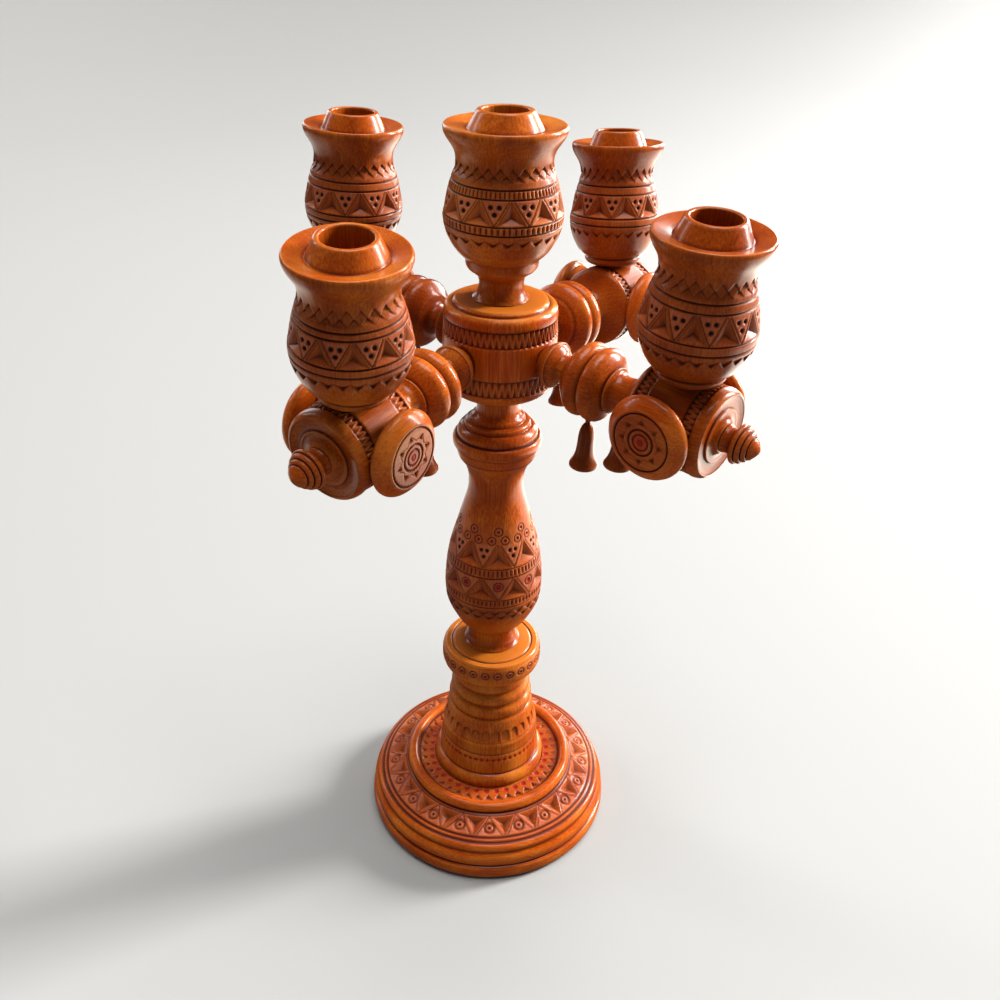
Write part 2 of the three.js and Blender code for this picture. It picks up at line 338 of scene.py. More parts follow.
def mesh_piece(name, t, place, grain=(0, 0, 0), tone=0.0, lay="z", lowest=None, top=0.0):
    """The grid as a mesh object in the frame's place, with its marks as attributes."""
    rr = t.r + t.tz * (-t.depth)
    zz = t.z - t.tr * (-t.depth)
    rr = np.maximum(rr, 0)
    x, y, z = rr * np.cos(t.th), rr * np.sin(t.th), zz + 0 * t.th
    if lowest is not None:
        z = np.maximum(z, lowest)
    m, n = x.shape
    pts = np.stack([x, y, z], -1).reshape(-1, 3)
    idx = np.arange(m * n).reshape(m, n)
    nxt = np.roll(idx, -1, 1)
    rows = m if t.closed else m - 1
    low, high = idx, np.roll(idx, -1, 0)
    lown, highn = nxt, np.roll(nxt, -1, 0)
    quads = np.stack([low, lown, highn, high], -1)[:rows].reshape(-1, 4)
    tris = np.zeros((0, 3), int)
    keep = np.ones(len(pts), bool)
    if not t.closed:                                   # the first and last rows are on the axis
        first, last = idx[0], idx[-1]
        pts[first] = pts[first].mean(0)
        pts[last] = pts[last].mean(0)
        quads = quads[n:-n]
        tris = np.vstack([np.stack([np.full(n, first[0]), nxt[1], idx[1]], 1),
                          np.stack([np.full(n, last[0]), idx[-2], nxt[-2]], 1)])
        keep[first[1:]] = keep[last[1:]] = False
    new = np.cumsum(keep) - 1
    quads, tris = new[quads], new[tris]
    local = pts[keep]
    world = (local @ place[:3, :3].T + place[:3, 3]) * MM
    me = bpy.data.meshes.new(name)
    me.vertices.add(len(world))
    me.vertices.foreach_set("co", world.astype(np.float32).ravel())
    loops = np.concatenate([quads.ravel(), tris.ravel()])
    me.loops.add(len(loops))
    me.loops.foreach_set("vertex_index", loops.astype(np.int32))
    me.polygons.add(len(quads) + len(tris))
    start = np.concatenate([np.arange(len(quads)) * 4, len(quads) * 4 + np.arange(len(tris)) * 3])
    me.polygons.foreach_set("loop_start", start.astype(np.int32))
    me.polygons.foreach_set("use_smooth", np.ones(len(start), bool))
    me.update(calc_edges=True)
    me.validate()
    flat = lambda a: (a + 0 * t.depth).reshape(-1)[keep]
    marks = np.stack([flat(t.marks[k]) for k in ("pink", "line", "black", "red")], 1)
    # painted shade for the profile's hollows and a painted highlight for its convex crests
    hollow_shade = np.clip(flat(t.soft_bend) * 2.2, 0, 1)
    crest_highlight = np.clip(-flat(t.bend) * 0.55, 0, 1)
    shade = np.stack([flat(t.marks["pale"]), flat(t.marks["chip"]), hollow_shade, crest_highlight], 1)
    for key, arr in (("marks", marks), ("shade", shade)):
        at = me.attributes.new(key, "FLOAT_COLOR", "POINT")
        at.data.foreach_set("color", arr.astype(np.float32).ravel())
    g = local.copy()
    if lay == "x":                                     # the board's grain runs across the turning axis
        g = g[:, [2, 1, 0]]
    g = g + np.array(grain)
    at = me.attributes.new("loc", "FLOAT_VECTOR", "POINT")
    at.data.foreach_set("vector", g.astype(np.float32).ravel())
    # tone: each piece's own shift plus painted light on its upward faces, scaled by top; a negative top paints them
    # darker
    at = me.attributes.new("tone", "FLOAT", "POINT")
    at.data.foreach_set("value", (tone + top * np.clip(flat(-t.tr) * 1.6 - 0.6, 0, 1)).astype(np.float32))
    ob = bpy.data.objects.new(name, me)
    bpy.context.scene.collection.objects.link(ob)
    return ob


# ------------------------------------------------------------------ materials
def lin(r, g, b):
    f = lambda c: c / 255 / 12.92 if c <= 10 else ((c / 255 + 0.055) / 1.055) ** 2.4
    return (f(r), f(g), f(b), 1.0)


class Graph:
    def __init__(self, name):
        self.mat = bpy.data.materials.new(name)
        self.mat.use_nodes = True
        self.tree = self.mat.node_tree
        self.bsdf = self.tree.nodes["Principled BSDF"]

    def node(self, kind, links=None, values=None, **props):
        n = self.tree.nodes.new(kind)
        for k, v in props.items():
            setattr(n, k, v)
        for k, v in (values or {}).items():
            n.inputs[k].default_value = v
        for k, v in (links or {}).items():
            self.tree.links.new(v, n.inputs[k])
        return n

    def math(self, op, a, b=None, c=None, clamp=False):
        n = self.tree.nodes.new("ShaderNodeMath")
        n.operation, n.use_clamp = op, clamp
        for i, v in enumerate((a, b, c)):
            if v is None:
                continue
            if isinstance(v, (int, float)):
                n.inputs[i].default_value = v
            else:
                self.tree.links.new(v, n.inputs[i])
        return n.outputs[0]

    def mix(self, fac, a, b, kind="MIX"):
        n = self.tree.nodes.new("ShaderNodeMix")
        n.data_type, n.blend_type, n.clamp_factor = "RGBA", kind, True
        for i, v in ((0, fac), (6, a), (7, b)):
            if isinstance(v, (int, float, tuple)):
                n.inputs[i].default_value = v
            else:
                self.tree.links.new(v, n.inputs[i])
        return n.outputs[2]

    def noise(self, vec, scale, detail=3.0, rough=0.55, distort=0.0):
        n = self.node("ShaderNodeTexNoise", {"Vector": vec},
                      {"Scale": scale, "Detail": detail, "Roughness": rough, "Distortion": distort})
        return n.outputs["Fac"]

    def scaled(self, vec, x, y, z):
        n = self.node("ShaderNodeVectorMath", {0: vec}, operation="MULTIPLY")
        n.inputs[1].default_value = (x, y, z)
        return n.outputs[0]


def wood(name, dark, mid, light, ring_gap=2.4, ring_mix=0.10, gloss=0.30, coat=0.22, fleck=0.5):
    """Varnished close-grained wood: growth rings, long fibres, short flecks, stained carving, with painted shade in its
    cuts and hollows and painted highlights on its crests and struck rings.
    """
    g = Graph(name)
    loc = g.node("ShaderNodeAttribute", attribute_name="loc").outputs["Vector"]
    marks = g.node("ShaderNodeAttribute", attribute_name="marks")
    shade = g.node("ShaderNodeAttribute", attribute_name="shade")
    tone = g.node("ShaderNodeAttribute", attribute_name="tone").outputs["Fac"]
    m = g.node("ShaderNodeSeparateColor", {"Color": marks.outputs["Color"]}).outputs
    pink, line, black, red = m[0], m[1], m[2], marks.outputs["Alpha"]
    s = g.node("ShaderNodeSeparateColor", {"Color": shade.outputs["Color"]}).outputs
    pale, chip, hollow_shade, crest_highlight = s[0], s[1], s[2], shade.outputs["Alpha"]

    # growth rings about a pith well outside the piece, wandering slowly along the grain
    wander = g.node("ShaderNodeTexNoise", {"Vector": g.scaled(loc, 0.035, 0.035, 0.009)},
                    {"Scale": 1.0, "Detail": 2.0, "Roughness": 0.5}).outputs["Color"]
    moved = g.node("ShaderNodeVectorMath", {0: wander, 2: loc}, operation="MULTIPLY_ADD")
    moved.inputs[1].default_value = (16.0, 16.0, 0.0)
    flat = g.node("ShaderNodeVectorMath", {0: moved.outputs[0]}, operation="MULTIPLY")
    flat.inputs[1].default_value = (1.0, 1.0, 0.0)
    far = g.node("ShaderNodeVectorMath", {0: flat.outputs[0]}, operation="DISTANCE")
    far.inputs[1].default_value = (-46.0, 22.0, 0.0)
    turns = g.math("MULTIPLY", far.outputs["Value"], 1.0 / ring_gap)
    saw = g.math("FRACT", turns)
    late = g.math("POWER", saw, 2.6)
    fibre = g.noise(g.scaled(loc, 1.0, 1.0, 0.028), 1.15, 4.0, 0.62)
    fine = g.noise(g.scaled(loc, 1.0, 1.0, 0.05), 5.2, 2.0, 0.6)
    cloud = g.noise(g.scaled(loc, 1.0, 1.0, 0.4), 0.045, 2.0, 0.5)
    short = g.noise(g.scaled(loc, 1.0, 1.0, 0.16), 2.6, 1.0, 0.5)
    specks = g.math("MULTIPLY", g.math("SUBTRACT", short, 0.60, clamp=True), 6.0, clamp=True)

    f = g.math("MULTIPLY", g.math("SUBTRACT", fibre, 0.5), 1.05)
    f = g.math("ADD", f, g.math("MULTIPLY", g.math("SUBTRACT", fine, 0.5), 0.55))
    f = g.math("ADD", f, g.math("MULTIPLY", g.math("SUBTRACT", cloud, 0.5), 1.2))
    f = g.math("SUBTRACT", f, g.math("MULTIPLY", late, ring_mix))
    f = g.math("SUBTRACT", f, g.math("MULTIPLY", specks, 0.12 * fleck))
    # tone adds each piece's own shift and the painted light on its upward faces
    f = g.math("ADD", g.math("ADD", f, 0.52 + ring_mix * 0.28), tone, clamp=True)
    ramp = g.node("ShaderNodeValToRGB", {"Fac": f})
    el = ramp.color_ramp.elements
    el[0].position, el[0].color = 0.08, dark
    el[1].position, el[1].color = 0.92, light
    e = el.new(0.5)
    e.color = mid
    base = ramp.outputs["Color"]

    # painted shade darkens the hollows of the profile, and a painted highlight lightens its convex crests
    base = g.mix(g.math("MULTIPLY", hollow_shade, 0.7), base, g.mix(1.0, base, (0.42, 0.24, 0.16, 1), "MULTIPLY"))
    base = g.mix(g.math("MULTIPLY", crest_highlight, 0.28), base, g.mix(0.6, base, (0.62, 0.25, 0.07, 1)))
    # carved ground: bare pinkish wood under a thinner coat
    blush = g.mix(f, (0.20, 0.034, 0.0075, 1), (0.40, 0.108, 0.032, 1))
    base = g.mix(g.math("MULTIPLY", pink, 0.40), base, blush)
    base = g.mix(g.math("MULTIPLY", chip, 0.5), base, g.mix(f, (0.19, 0.030, 0.0045, 1), (0.40, 0.095, 0.019, 1)))
    # pale: lighter ground between the chips, and a painted highlight on the raised middles of the struck rings
    base = g.mix(g.math("MULTIPLY", pale, 0.42), base, g.mix(f, (0.27, 0.058, 0.024, 1), (0.47, 0.150, 0.072, 1)))
    # line: painted shade in grooves, notches, cuts and creases
    base = g.mix(g.math("MULTIPLY", line, 0.93), base, (0.036, 0.0036, 0.0012, 1))
    base = g.mix(g.math("MULTIPLY", red, 0.95), base, (0.23, 0.008, 0.005, 1))
    base = g.mix(g.math("MULTIPLY", black, 0.97), base, (0.011, 0.0028, 0.0035, 1))
    g.tree.links.new(base, g.bsdf.inputs["Base Color"])

    cutaway = g.math("MAXIMUM", g.math("MULTIPLY", pink, 0.55), g.math("MAXIMUM", line, g.math("MAXIMUM", black, red)))
    rough = g.math("ADD", g.math("MULTIPLY", fibre, 0.10), gloss - 0.05)
    rough = g.math("ADD", rough, g.math("MULTIPLY", cutaway, 0.24), clamp=True)
    g.tree.links.new(rough, g.bsdf.inputs["Roughness"])
    coated = g.math("MULTIPLY", g.math("SUBTRACT", 1.0, g.math("MULTIPLY", cutaway, 0.75)), coat)
    g.tree.links.new(coated, g.bsdf.inputs["Coat Weight"])
    g.bsdf.inputs["Coat Roughness"].default_value = 0.19
    g.bsdf.inputs["Coat IOR"].default_value = 1.4
    g.bsdf.inputs["Specular IOR Level"].default_value = 0.06
    height = g.math("ADD", g.math("MULTIPLY", fine, 0.6), g.math("MULTIPLY", fibre, 0.4))
    bump = g.node("ShaderNodeBump", {"Height": height}, {"Strength": 0.22, "Distance": 0.00005})
    g.tree.links.new(bump.outputs["Normal"], g.bsdf.inputs["Normal"])
    return g.mat


MATS = {
    "base_wood": wood("base_wood", (0.215, 0.025, 0.0012, 1), (0.360, 0.060, 0.0032, 1), (0.48, 0.138, 0.014, 1)),
    "column_wood": wood("column_wood", (0.152, 0.016, 0.0010, 1), (0.285, 0.041, 0.0020, 1), (0.44, 0.120, 0.012, 1)),
    "cup_wood": wood("cup_wood", (0.155, 0.019, 0.0012, 1), (0.285, 0.055, 0.0038, 1), (0.43, 0.142, 0.020, 1)),
    "arm_wood": wood("arm_wood", (0.118, 0.014, 0.0012, 1), (0.245, 0.039, 0.0024, 1), (0.38, 0.104, 0.012, 1)),
    "wheel_wood": wood("wheel_wood", (0.155, 0.018, 0.0012, 1), (0.290, 0.046, 0.0026, 1), (0.42, 0.110, 0.013, 1)),
    "bell_wood": wood("bell_wood", (0.085, 0.012, 0.0014, 1), (0.145, 0.025, 0.0026, 1), (0.22, 0.050, 0.007, 1)),
    "dowel_wood": wood("dowel_wood", lin(150, 96, 50), lin(190, 136, 84), lin(214, 166, 112), coat=0.15, gloss=0.42),
}


def finish(ob, node, body, slot):
    ob.data.materials.clear()
    ob.data.materials.append(MATS[slot])
    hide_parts(node)
    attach(ob, body)


# ------------------------------------------------------------------ base plate
BASE = [
    (0, 0), (0, 78.2, 1), (0.5, 79.8), (1.37, 81.07), (4.11, 82.35), (7.3, 82.45), (10.04, 82.2), (11.4, 80.3, 1), (12.42, 80.71, 1),
    (15.06, 81.3), (18.72, 80.89), (21.27, 78.79, 1), (22.28, 78.15), (24.29, 78.7), (26.11, 77.97),
    (27.21, 76.33, 1), (27.66, 75.78), (28.85, 73.04), (34.69, 58.89), (35.42, 57.15, 1), (37.89, 56.79),
    (40.72, 55.51), (41.45, 53.32), (40.9, 51.13), (39.62, 50.22, 1), (37.98, 49.67, 1), (37.98, 38.0),
    (12.3, 38.0), (12.3, 9.5), (9.5, 9.5), (9.5, 0),
]
b = Turned(BASE, 720, [(0, 0, 1)])
top = b.at(r=76.5, after=b.at(z=26.0))
zones = [(b.at(r=76.4, after=top - 3), b.at(r=57.3, after=top), 0.46), (b.at(r=49.4, after=top), b.at(r=38.3, after=top), 0.5)]
b = Turned(BASE, 720, zones, tol=0.03, most=6.0, limit=99000)
sr = lambda r: b.at(r=r, after=top - 4)
b.groove(b.at(z=11.4), 1.2, 0.35, 0.9)
b.groove(b.at(z=21.6), 1.0, 0.2, 0.6)
b.groove(sr(76.2), 1.0, 0.35, 0.7)
b.groove(sr(75.1), 1.8, 0.9, 1.0)
b.groove(sr(72.2), 1.6, 0.8, 1.0)
b.groove(sr(58.7), 1.5, 0.8, 1.0)
b.groove(sr(57.2), 1.8, 0.6, 1.0)
b.band(sr(76.0), sr(57.4), "pink", 0.7)
place = b.chips(21, FRONT + 1.4 + 180 / 21, sr(71.0), sr(59.3), depth=3.3, strip=1.35, edge=0.95, depth_shade=0.9)
rho = place(0, 0.60)
b.cut(1.2 * np.clip(1 - np.abs(rho - 3.05) / 1.0, 0, 1) ** 0.6)
# painted shade in the ring's groove and middle hole, and a painted highlight on the raised disc between them
b.mark("line", 0.8 * np.clip(1.3 - np.abs(rho - 3.05) / 0.7, 0, 1))
b.mark("pale", np.clip((2.6 - rho) / 0.3, 0, 1))
b.cut(0.9 * np.clip((1.15 - rho) / 0.35, 0, 1))
b.mark("line", np.clip((1.2 - rho) / 0.3, 0, 1))
floor_z = b.at(r=49.0, after=sr(50.5))
fr = lambda r: b.at(r=r, after=floor_z - 1)
b.band(fr(49.2), fr(38.1), "pink", 0.75)
b.groove(fr(49.2), 1.5, 0.5, 1.0)
b.ramps(42, FRONT + 0.4, fr(43.9), fr(48.5), depth=2.2, length=1.1)
b.dot(b.spot(38, FRONT - 1.2, fr(40.2)), 1.85, 0.6, "red")
# top: the base's upward faces are painted darker
finish(mesh_piece("base_plate_v", b, np.eye(4), (7, -31, 4), 0.04, "x", 0.0, top=-0.24), "base_plate", "column", "base_wood")

# ------------------------------------------------------------------ column foot
FOOT = [
    (12.6, 0), (12.6, 37.6), (37.4, 37.6, 1), (38.2, 36.9, 1), (39.4, 37.4), (41.0, 37.65), (43.0, 37.35), (45.0, 36.5), (46.4, 35.2), (47.0, 33.9, 1), (48.0, 34.0, 1),
    (57.06, 33.32), (63, 32.5, 1), (63.91, 32.0, 1), (68.93, 31.86), (70.76, 32.1), (72.86, 31.22, 1), (73.95, 30.75),
    (82.17, 29.4), (89.4, 27.95), (90.7, 26.75), (92.3, 27.2), (95.2, 27.8), (98.0, 26.9), (99.4, 25.6), (100.5, 24.95), (101.7, 25.35),
    (104.2, 26.25), (106.9, 25.9), (108.9, 24.6), (110.1, 23.85), (111.4, 24.25), (113.8, 25.05), (116.4, 24.85), (119.15, 23.74),
    (119.6, 22.5, 1), (119.6, 9.4), (152.3, 9.4), (152.3, 0),
]
f0 = Turned(FOOT, 392)
f = Turned(FOOT, 392, [(f0.at(z=57.0), f0.at(z=61.5), 0.42), (f0.at(z=72.6), f0.at(z=83.2), 0.42)], tol=0.02, limit=80000)
f.groove(f.at(z=63.4), 0.9, 0.4, 0.9)
f.groove(f.at(z=47.6), 0.9, 0.25, 0.7)

f.groove(f.at(z=73.0), 0.7, 0.25, 0.5)
x = np.abs(f.turn(28, FRONT + 8.3)) * PI2 * 30.2 / 28
v = f.s - f.at(z=73.6)
half = 2.55
arch = np.where(v < 6.2, half - x, half - np.hypot(x, np.maximum(v - 6.2, 0)))
inside = np.clip(arch / 0.35, 0, 1) * (v > 0)
f.cut(1.5 * inside * np.clip(0.1 + 0.9 * v / 8.5, 0, 1))
# painted shade along the arches' walls
f.mark("line", 0.7 * np.clip(1.2 - np.abs(arch - 0.25) / 0.45, 0, 1) * np.clip(v / 6.0, 0.2, 1) * (v > 0) * (v < 9.5))
f.mark("chip", 0.5 * inside)
rho = f.spot(53, FRONT - 1.5, f.at(z=59.2))
f.groove(f.at(z=59.2), 0.6, 0.2, 0.5)
f.dot(rho, 1.3, 0.4, "red")
finish(mesh_piece("column_foot_v", f, np.eye(4), (3, 60, 40), 0.16), "column_foot", "column", "column_wood")

# ------------------------------------------------------------------ ring knop
KNOP = [
    (119.9, 9.9), (119.9, 24.1, 1), (120.33, 26.93), (121.89, 29.4), (124.62, 31.32), (127.82, 32.2), (131.47, 32.3),
    (135.12, 31.96), (137.41, 31.0), (138.78, 29.75, 1), (139.05, 26.9, 1), (138.5, 26.02, 1), (139.14, 25.38),
    (139.96, 22.37), (140.7, 18.4, 1), (140.85, 9.9),
]
k0 = Turned(KNOP, 350, closed=True)
k = Turned(KNOP, 350, [(k0.at(z=129.3), k0.at(z=136.4), 0.36)], limit=60000, closed=True)
k.ring(k.spot(25, FRONT + 8, k.at(z=132.6)), 2.35, 1.1, 0.6, 1.05, 0.8)
k.band(k.at(z=129.0), k.at(z=136.2), "pink", 0.6, 2.0)
k.band(k.at(z=129.3), k.at(z=136.0), "line", 0.16, 2.0)
k.groove(k.at(z=137.3), 0.8, 0.2, 0.45)
k.groove(k.at(r=26.3, after=k.at(z=138.9)), 0.9, 0.3, 0.6)
# top: painted light on the knop's upward faces
finish(mesh_piece("ring_knop_v", k, np.eye(4), (40, -12, 15), 0.22, top=0.30), "ring_knop", "column", "column_wood")

# ------------------------------------------------------------------ baluster
VASE = [
    (152.5, 0), (152.5, 9.7), (141.1, 9.7), (141.1, 18.2, 1), (142.43, 16.62), (145.17, 15.43), (149.73, 15.16),
    (153.84, 16.07), (157.04, 18.44), (159.32, 20.82), (162.51, 23.01), (166.17, 24.92), (169.82, 26.75),
    (173.47, 28.3), (177.12, 29.49), (180.77, 30.13), (186.25, 30.45), (192.64, 30.4), (199.03, 30.04),
    (204.51, 29.4), (209.99, 28.58), (215.47, 27.57), (220.95, 26.2), (226.42, 24.65), (231.9, 23.01),
    (237.38, 21.46), (242.86, 19.9), (248.34, 18.26), (252.9, 17.07), (257.47, 16.43), (262.03, 16.34),
    (266.6, 16.8), (270.25, 17.71), (272.99, 18.81), (275.27, 20.27), (277.55, 22.0), (278.74, 22.73, 1),
    (281.66, 23.56), (284.86, 24.56, 1), (285.77, 25.29), (287.6, 25.95), (289.88, 25.98), (291.52, 25.38),
    (292.34, 24.29, 1), (292.6, 23.5, 1), (295.36, 23.19), (297.09, 22.09), (298.55, 20.36, 1), (298.9, 19.4, 1),
    (300.92, 18.63), (301.84, 16.98, 1), (302.3, 16.0, 1), (304.03, 15.34), (305.86, 13.33), (307.68, 12.42),
    (310.42, 12.14), (316.5, 12.1), (316.5, 8.45), (332.2, 8.45), (332.2, 0),
]
v0 = Turned(VASE, 350)
w0 = v0.at(z=160)
vz = lambda z: v0.at(z=z, after=w0)
vase = Turned(VASE, 350, [(vz(175.5), vz(240.0), 0.42)] + [(vz(z) - 0.5, vz(z) + 0.5, 0.26) for z in (213.1, 207.2, 191.7, 186.3)],
              tol=0.03, limit=98500)
vz = lambda z: vase.at(z=z, after=w0)
vase.band(vz(238.5), vz(176.0), "pink", 0.85, 8.0)
vase.groove(vz(213.1), 0.8, 0.6)
vase.beads(vz(212.5), vz(208.2), 66, FRONT + 2)
vase.groove(vz(207.2), 0.8, 0.6)
vase.groove(vz(191.7), 0.8, 0.6)
vase.beads(vz(191.2), vz(187.5), 72, FRONT)
vase.groove(vz(186.3), 0.8, 0.6)
place = vase.chips(9, FRONT + 6, vz(228.7), vz(214.1), depth=3.1, strip=1.15, edge=0.7)
for px, pv in ((-1.85, 0.74), (1.85, 0.74), (0, 0.48)):
    vase.dot(place(px, pv), 1.28)
place = vase.chips(9, FRONT + 26, vz(206.4), vz(192.4), depth=3.1, strip=1.15, edge=0.7)
vase.ring(place(0, 0.66), 2.95, 1.1, 0.6, 1.75, 1.0)
for tt, zz in ((6, 236.2), (16, 230.8), (-4, 230.8)):
    rho = vase.spot(9, FRONT + tt, vz(zz))
    vase.mark("pink", 0.9 * np.clip((2.9 - rho) / 0.5, 0, 1))
    vase.ring(rho, 2.4, 0.95, 0.55, 0.95, 0.8)
vase.groove(vase.at(z=292.5, after=w0), 1.7, 0.3, 1.0)
vase.groove(vase.at(z=298.8, after=w0), 1.0, 0.2, 0.8)
vase.groove(vase.at(z=302.1, after=w0), 0.9, 0.2, 0.7)
vase.groove(vase.at(z=284.9, after=w0), 0.8, 0.15, 0.6)
vase.groove(vase.at(z=278.6, after=w0), 0.9, 0.25, 0.85)
vase.ramps(25, FRONT + 3, vz(180.4), vz(183.6), depth=1.2, length=1.5)
vase.ramps(25, FRONT + 3 + 7.2, vz(176.9), vz(180.1), depth=1.1, length=1.3)
# painted shade under the belly, over the lower rows of teeth
vase.band(vz(184.5), vz(176.5), "line", 0.28, 1.0)
vase.band(vz(212.0), vz(187.0), "line", 0.13, 3.0)
finish(mesh_piece("baluster_v", vase, np.eye(4), (-22, 18, 90), -0.02), "baluster", "column", "column_wood")

# ------------------------------------------------------------------ hub
HUB = [
    (332.6, 0), (332.6, 8.9), (316.85, 8.9), (316.85, 12.7, 1), (318.18, 18.26), (320.92, 25.11), (324.12, 29.22),
    (326.67, 30.86), (327.95, 31.5), (336.9, 31.77), (356.07, 31.77), (365.2, 31.5), (367.48, 31.4), (370.22, 30.68),
    (371.77, 29.12, 1), (371.55, 26.48, 1), (372.69, 26.02), (373.78, 24.83), (374.05, 16.0, 1), (374.05, 8.9),
    (359.6, 8.9), (359.6, 0),
]
h0 = Turned(HUB, 570)
w1 = h0.at(z=318)
hz = lambda z: h0.at(z=z, after=w1)
hub = Turned(HUB, 570, [(hz(327.5), hz(337.8), 0.42), (hz(355.8), hz(365.6), 0.42)], limit=84000)
hz = lambda z: hub.at(z=z, after=w1)
hub.zigzag(hz(328.2), hz(337.2), 55, FRONT, depth=1.8)
hub.zigzag(hz(356.4), hz(365.0), 57, FRONT, depth=1.8)
hub.band(hz(328.0), hz(337.4), "pink", 0.8)
hub.band(hz(356.2), hz(365.2), "pink", 0.8)
hub.groove(hub.at(r=26.6, after=hz(371.0)), 0.9, 0.15, 0.5)
# top: painted light on the hub's upward faces
hub_ob = mesh_piece("hub_v", hub, np.eye(4), (30, 8, -20), -0.05, top=0.56)
cutters = []
for name, a in ARMS.items():
    wide = ROOT_R + 0.55 + (HUB_R - a["out"] - SEAT_X) * 0.78
    c = Turned([(11.7, 0), (11.7, 7.6, 1), (SEAT_X, 7.6, 1), (SEAT_X, wide, 1), (45, wide, 1), (45, 0)], 96, fillet=0.0, tol=0.02)
    cutters.append(mesh_piece("pocket_" + name, c, arm_frame(a) @ ALONG_X, (5, 5, 5), -0.1))
for c in cutters:
    c.data.materials.append(MATS["column_wood"])
    mod = hub_ob.modifiers.new(c.name, "BOOLEAN")
    mod.operation, mod.object, mod.solver = "DIFFERENCE", c, "MANIFOLD"
hub_ob.data.materials.append(MATS["column_wood"])
bpy.context.view_layer.update()
made = bpy.data.meshes.new_from_object(hub_ob.evaluated_get(bpy.context.evaluated_depsgraph_get()))
hub_ob.modifiers.clear()
hub_ob.data = made
made.name = "hub_v"
for c in cutters:
    bpy.data.objects.remove(c, do_unlink=True)
print("hub after pockets:", len(made.vertices), "vertices,", [x.name for x in made.attributes])
finish(hub_ob, "hub", "column", "column_wood")

# ------------------------------------------------------------------ candle cups
UPPER = [   # the outer wall of a cup above its foot: height over the arm axis, radius
    (26.52, 19.54), (28.62, 20.09), (30.35, 22.09), (32.72, 24.38), (36.1, 26.75), (38.93, 28.3), (41.76, 29.58),
    (44.78, 30.59), (48.43, 31.22), (51.62, 31.42), (54.82, 30.95), (58.47, 30.13), (62.12, 29.22), (65.78, 28.3),
    (69.43, 27.12), (72.62, 26.02), (75.82, 25.2), (78.56, 24.83), (80.84, 25.11), (83.12, 25.84), (85.86, 27.39),
    (88.6, 29.4), (90.88, 30.68), (92.71, 31.25), (94.4, 31.15), (95.3, 30.7), (95.45, 30.2, 1), (93.71, 22.82),
]
LIFT = 367.9
CUP = [
    (360.1, 0), (360.1, 8.45), (374.35, 8.45), (374.35, 15.7, 1), (376.16, 13.97), (378.9, 12.6), (382.55, 12.05),
    (386.2, 12.78), (388.48, 15.34), (390.31, 17.89), (392.13, 19.17),
] + [(p[0] + LIFT, *p[1:]) for p in UPPER] + [
    (461.0, 19.5, 1), (465.4, 16.9, 1), (469.2, 14.75, 1), (469.9, 14.1, 1), (470.0, 12.1, 1),
    (469.5, 11.6, 1), (448.0, 11.5), (448.0, 0),
]


def carve_cup(c, z, n, scales, teeth, phase, beads=None, dots=(2.25, 1.36), scale_phase=0.0, teeth_phase=0.0, strip=1.15):
    """The cup's bands from the top: two rows of scales, lines or beads, triangles, lines, teeth."""
    at = lambda key: c.at(z=z[key], after=after)
    after = c.at(z=z["foot"])
    s1, s2, s3 = at("scale1"), at("scale2"), at("scale3")
    c.ramps(scales, scale_phase, s1, s2, depth=1.35, length=1.95, floor=s3)
    c.ramps(scales, scale_phase + 180 / scales, s2, s3, depth=1.35, length=1.15)
    c.band(s2 + 1.5, at("teeth1"), "pink", 1.0, 3.5)
    for key in ("g1", "g2", "g3", "g4"):
        c.groove(at(key), 1.15, 0.85)
    if beads:
        c.beads(at("g1") - 0.55, at("g2") + 0.4, beads[0], phase)
        c.beads(at("g3") - 0.5, at("g4") + 0.5, beads[1], phase + 1.2)
    place = c.chips(n, phase, at("apex"), at("base"), depth=3.1, strip=strip, edge=0.7)
    for px, pv in ((-dots[0], 0.75), (dots[0], 0.75), (0, 0.46)):
        c.dot(place(px, pv), dots[1])
    c.ramps(teeth, teeth_phase, at("teeth2"), at("teeth1"), depth=1.5, length=1.25)
    return c


def cup_grid(points, columns, lo, hi, z, limit):
    c0 = Turned(points, columns)
    after = c0.at(z=z["foot"])
    zones = [(c0.at(z=z["teeth2"] - 0.6, after=after), c0.at(z=z["scale1"] + 0.6, after=after), lo)]
    zones += [(c0.at(z=z[key], after=after) - 0.5, c0.at(z=z[key], after=after) + 0.5, hi) for key in ("g1", "g2", "g3", "g4")]
    return Turned(points, columns, zones, tol=0.03, limit=limit)


CENTRE = dict(foot=394.5, scale1=446.5, scale2=443.3, scale3=440.5, g1=437.1, g2=432.8, apex=432.2, base=420.6,
              g3=420.1, g4=415.6, teeth1=412.7, teeth2=409.6)
cup = cup_grid(CUP, 418, 0.4, 0.26, CENTRE, 99000)
carve_cup(cup, CENTRE, 11, 26, 25, FRONT + 8, (76, 66), scale_phase=FRONT + 9.3, teeth_phase=FRONT + 5)
finish(mesh_piece("center_cup_v", cup, np.eye(4), (-60, -25, 200), 0.05), "center_cup", "column", "cup_wood")


def arm_cup(k):
    body = [(24.25, 16.3, 1), (25.4, 18.4), (26.9, 19.7), (28.2, 19.8), (28.9, 19.3, 1), (29.3, 18.9, 1), (30.4, 21.4)] + UPPER[3:]
    return [(12.1, 0), (12.1, 6.5), (24.25, 6.5)] + [(p[0], p[1] * k, *p[2:]) for p in body] + [
        (92.9, 20.0 * k, 1), (97.5, 17.7 * k, 1), (101.4, 15.7 * k, 1), (102.0, 15.1 * k, 1), (102.1, 12.1, 1),
        (101.6, 11.6, 1), (80.1, 11.5), (80.1, 0)]


